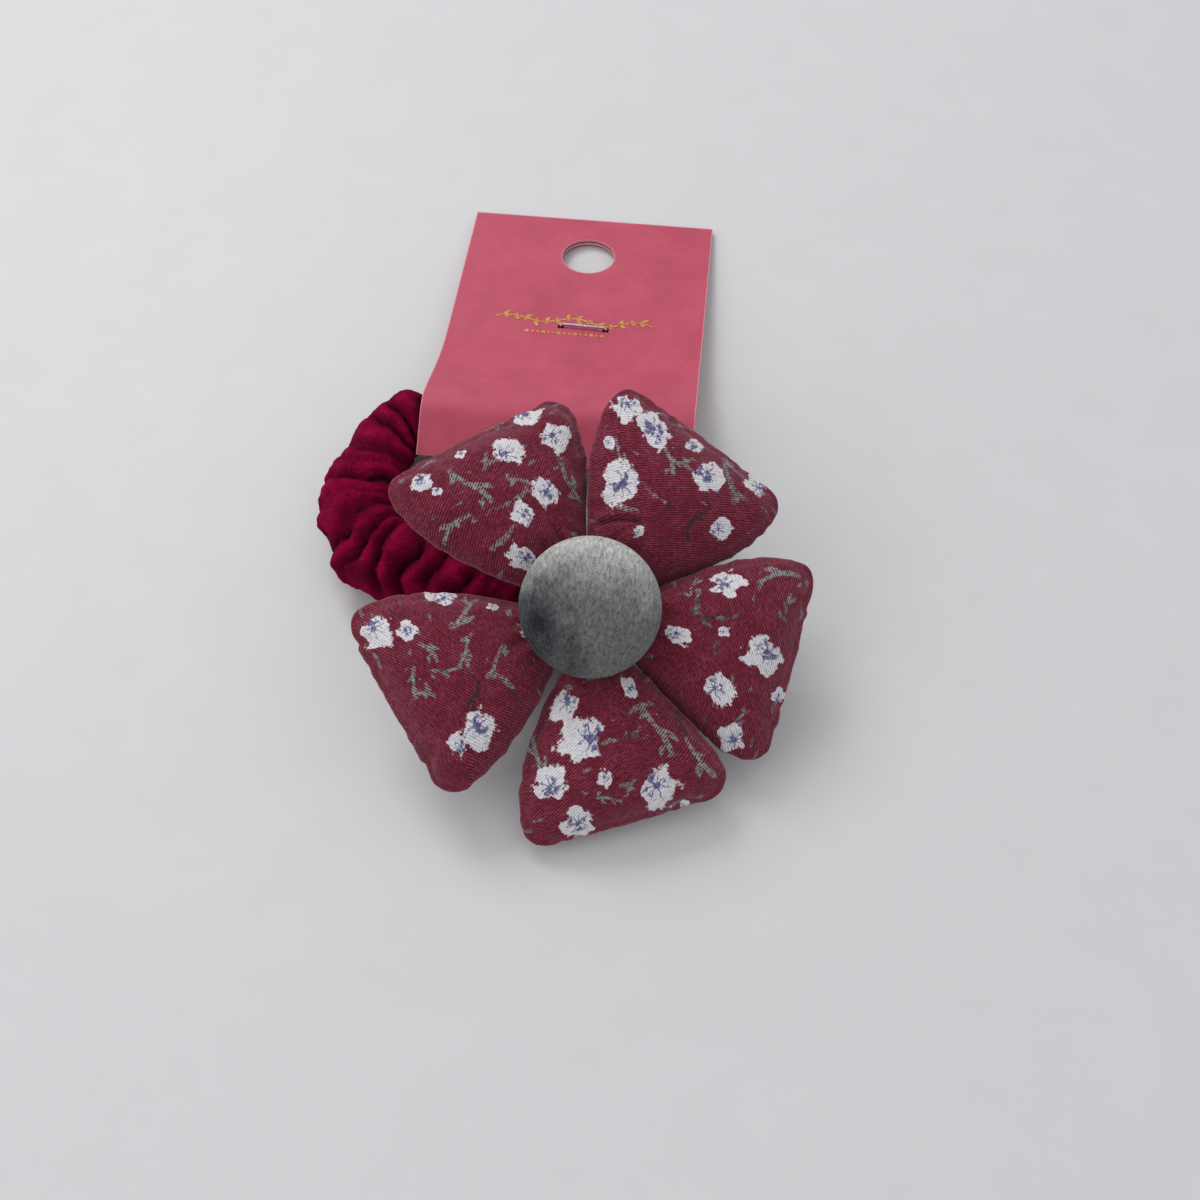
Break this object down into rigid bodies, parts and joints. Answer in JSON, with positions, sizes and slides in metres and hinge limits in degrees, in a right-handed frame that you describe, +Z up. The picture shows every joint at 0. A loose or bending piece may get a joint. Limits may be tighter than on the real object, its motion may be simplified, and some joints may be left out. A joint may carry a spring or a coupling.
{
  "type": "hair tie",
  "caption": "Gathered velvet hair tie with a padded fabric flower and a covered button, held in a folded, stapled header card.",
  "frame": {"origin": "middle of the object's base, on the plane that it lies on", "axes": "+Y from the flower towards the card's top edge, +X across the card, +Z up from the plane"},
  "size_m": [0.0784, 0.1292, 0.0321],
  "materials": {
    "band_velvet": "crimson velvet, deep pile",
    "elastic_core": "matte",
    "header_card": "matte printed card with a little foil",
    "staple": "bright drawn wire",
    "printed_cotton": "printed cotton twill",
    "wadding": "loose fibre filling",
    "button_velvet": "short crushed pile",
    "button_metal": "plain pressed sheet",
    "felt": "pressed felt",
    "thread": "twisted thread"
  },
  "bodies": {
    "band_near": {"band_velvet_near": "band_velvet", "band_elastic_near": "elastic_core"},
    "band_far": {"band_velvet_far": "band_velvet", "band_elastic_far": "elastic_core"},
    "card": {"header_card": "header_card", "staple": "staple"},
    "flower": {"felt_backing": "felt", "gathering_thread": "thread", "button_velvet": "button_velvet", "button_shell": "button_metal", "button_back_plate": "button_metal", "button_shank": "button_metal", "button_thread": "thread", "band_stitch_1": "thread", "band_stitch_2": "thread"},
    "petal_1": {"petal_1_cover": "printed_cotton", "petal_1_wadding": "wadding"},
    "petal_2": {"petal_2_cover": "printed_cotton", "petal_2_wadding": "wadding"},
    "petal_3": {"petal_3_cover": "printed_cotton", "petal_3_wadding": "wadding"},
    "petal_4": {"petal_4_cover": "printed_cotton", "petal_4_wadding": "wadding"},
    "petal_5": {"petal_5_cover": "printed_cotton", "petal_5_wadding": "wadding"}
  },
  "joints": [
    {"name": "band_stretch", "type": "slide", "parent": "band_near", "child": "band_far", "axis": [0, 1, 0], "range_m": [0, 0.03], "stiffness_N_per_m": 60},
    {"name": "card_swing", "type": "hinge", "parent": "band_far", "child": "card", "pos_m": [-0.00292, 0.00874, 0.0068], "axis": [1, 0, 0], "range_deg": [-90, 100]},
    {"name": "flower_tilt", "type": "hinge", "parent": "band_near", "child": "flower", "pos_m": [0.00478, -0.02886, 0.0068], "axis": [0.9472, 0.3206, 0], "range_deg": [-12, 25], "stiffness_Nm_per_rad": 0.08},
    {"name": "petal_1_flex", "type": "hinge", "parent": "flower", "child": "petal_1", "pos_m": [0.00176, -0.02857, 0.02013], "axis": [0.7698, 0.6175, 0.1613], "range_deg": [-12, 20], "stiffness_Nm_per_rad": 0.03},
    {"name": "petal_2_flex", "type": "hinge", "parent": "flower", "child": "petal_2", "pos_m": [0.00992, -0.02745, 0.01939], "axis": [0.8662, -0.3923, -0.3097], "range_deg": [-12, 20], "stiffness_Nm_per_rad": 0.03},
    {"name": "petal_3_flex", "type": "hinge", "parent": "flower", "child": "petal_3", "pos_m": [0.01363, -0.03408, 0.01583], "axis": [-0.138, -0.9103, -0.3902], "range_deg": [-12, 20], "stiffness_Nm_per_rad": 0.03},
    {"name": "petal_4_flex", "type": "hinge", "parent": "flower", "child": "petal_4", "pos_m": [0.00851, -0.03988, 0.01399], "axis": [-0.9472, -0.3206, 0], "range_deg": [-12, 20], "stiffness_Nm_per_rad": 0.03},
    {"name": "petal_5_flex", "type": "hinge", "parent": "flower", "child": "petal_5", "pos_m": [0.00015, -0.03748, 0.01636], "axis": [-0.5247, 0.7428, 0.4158], "range_deg": [-12, 20], "stiffness_Nm_per_rad": 0.03}
  ]
}
